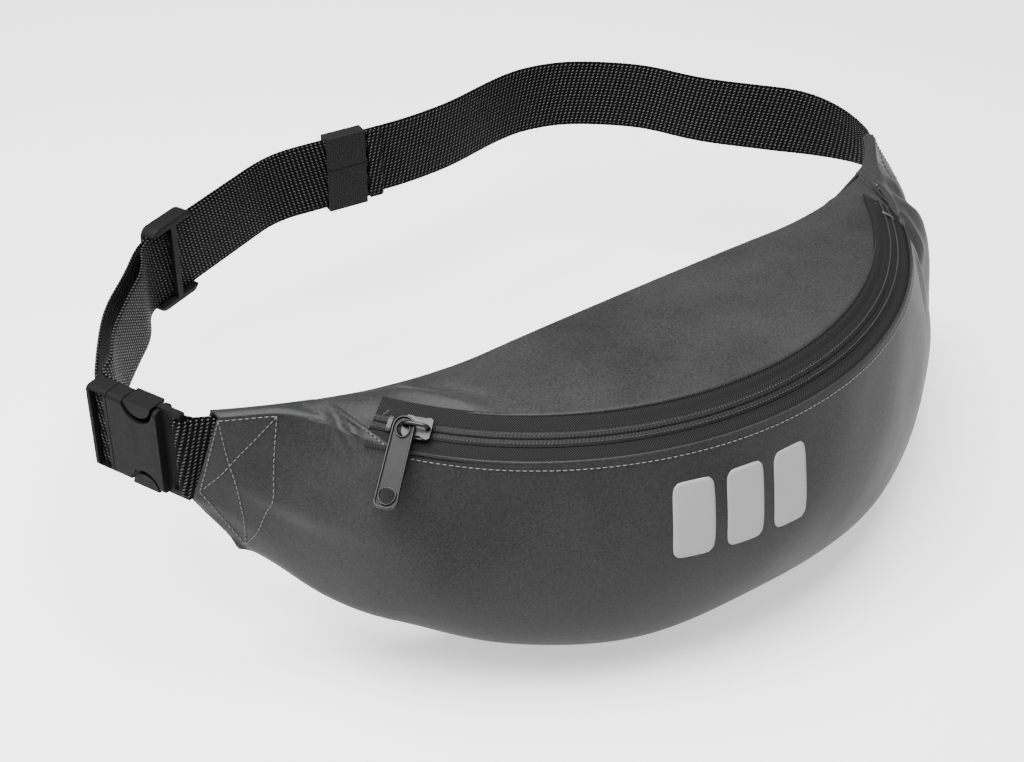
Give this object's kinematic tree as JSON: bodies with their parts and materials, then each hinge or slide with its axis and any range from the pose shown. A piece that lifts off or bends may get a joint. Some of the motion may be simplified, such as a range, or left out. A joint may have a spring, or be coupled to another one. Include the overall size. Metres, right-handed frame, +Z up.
{
  "type": "waist bag",
  "caption": "Half-moon waist bag with a curved top zip, a zipped rear pocket, sewn wings and an adjustable webbing belt that closes with a side release buckle.",
  "frame": {"origin": "middle of the loop that goes round the waist, at the belt's mid height", "axes": "+Z up, -Y out through the bag's front, +X towards the wing that the long end of the belt is sewn to"},
  "size_m": [0.4239, 0.315, 0.1293],
  "materials": {
    "fabric": "smooth retro-reflective woven polyester",
    "lining": "thin plain-weave polyester",
    "zip_tape": "herringbone woven polyester tape",
    "zip_coil": "semi-gloss nylon coil",
    "gunmetal": "dark plated zinc",
    "webbing": "coarse woven polypropylene",
    "elastic": "fine ribbed elastic",
    "acetal": "satin moulded acetal"
  },
  "bodies": {
    "bag": {"front_panel": "fabric", "top_panel": "fabric", "back_panel": "fabric", "rear_pocket_pouch": "lining", "main_zip_tape_upper": "zip_tape", "main_zip_tape_lower": "zip_tape", "main_zip_coil_upper": "zip_coil", "main_zip_coil_lower": "zip_coil", "main_zip_stop_left": "zip_tape", "main_zip_stop_right": "zip_tape", "zip_end_tab_left": "zip_tape", "zip_end_tab_right": "zip_tape", "rear_zip_tape_upper": "zip_tape", "rear_zip_tape_lower": "zip_tape", "rear_zip_coil_upper": "zip_coil", "rear_zip_coil_lower": "zip_coil", "rear_zip_stop_left": "zip_tape", "rear_zip_stop_right": "zip_tape", "belt_right": "webbing", "buckle_webbing": "webbing", "female_buckle": "acetal"},
    "belt": {"belt_back": "webbing", "belt_return": "webbing", "male_buckle": "acetal"},
    "main_slider": {"main_zip_slider": "gunmetal"},
    "main_puller": {"main_zip_puller": "gunmetal"},
    "rear_slider": {"rear_zip_slider": "gunmetal"},
    "rear_puller": {"rear_zip_puller": "gunmetal"},
    "arm_upper": {"buckle_arm_upper": "acetal"},
    "arm_lower": {"buckle_arm_lower": "acetal"},
    "glide": {"tri_glide": "acetal"},
    "keeper": {"keeper_loop": "elastic"}
  },
  "joints": [
    {"name": "belt_open", "type": "hinge", "parent": "bag", "child": "belt", "pos_m": [0.1313, 0.0893, 0], "axis": [0, 0, -1], "range_deg": [0, 70], "deforming": ["buckle_arm_upper", "buckle_arm_lower"]},
    {"name": "main_zip_travel", "type": "hinge", "parent": "bag", "child": "main_slider", "pos_m": [0, -0.024, 0.0215], "axis": [0, 0, 1], "range_deg": [0, 109]},
    {"name": "main_puller_swing", "type": "hinge", "parent": "main_slider", "child": "main_puller", "pos_m": [-0.1342, -0.12057, 0.02578], "axis": [-0.4886, -0.3722, 0.7891], "range_deg": [-55, 45]},
    {"name": "rear_zip_travel", "type": "slide", "parent": "bag", "child": "rear_slider", "axis": [-1, 0, 0], "range_m": [0, 0.127]},
    {"name": "rear_puller_swing", "type": "hinge", "parent": "rear_slider", "child": "rear_puller", "pos_m": [0.0685, -0.09755, 0.0018], "axis": [0, 0.9891, -0.1469], "range_deg": [-55, 45]},
    {"name": "arm_upper_squeeze", "type": "hinge", "parent": "belt", "child": "arm_upper", "pos_m": [-0.21033, -0.02447, 0.0142], "axis": [0.9367, 0.35, 0], "range_deg": [0, 6], "stiffness_Nm_per_rad": 0.3},
    {"name": "arm_lower_squeeze", "type": "hinge", "parent": "belt", "child": "arm_lower", "pos_m": [-0.21033, -0.02447, -0.0142], "axis": [-0.9367, -0.35, 0], "range_deg": [0, 6], "stiffness_Nm_per_rad": 0.3},
    {"name": "tri_glide_adjust", "type": "slide", "parent": "belt", "child": "glide", "axis": [0.9311, 0.3647, 0], "range_m": [0, 0.028]},
    {"name": "keeper_adjust", "type": "slide", "parent": "belt", "child": "keeper", "axis": [-0.9918, 0.1279, 0], "range_m": [0, 0.012]}
  ]
}
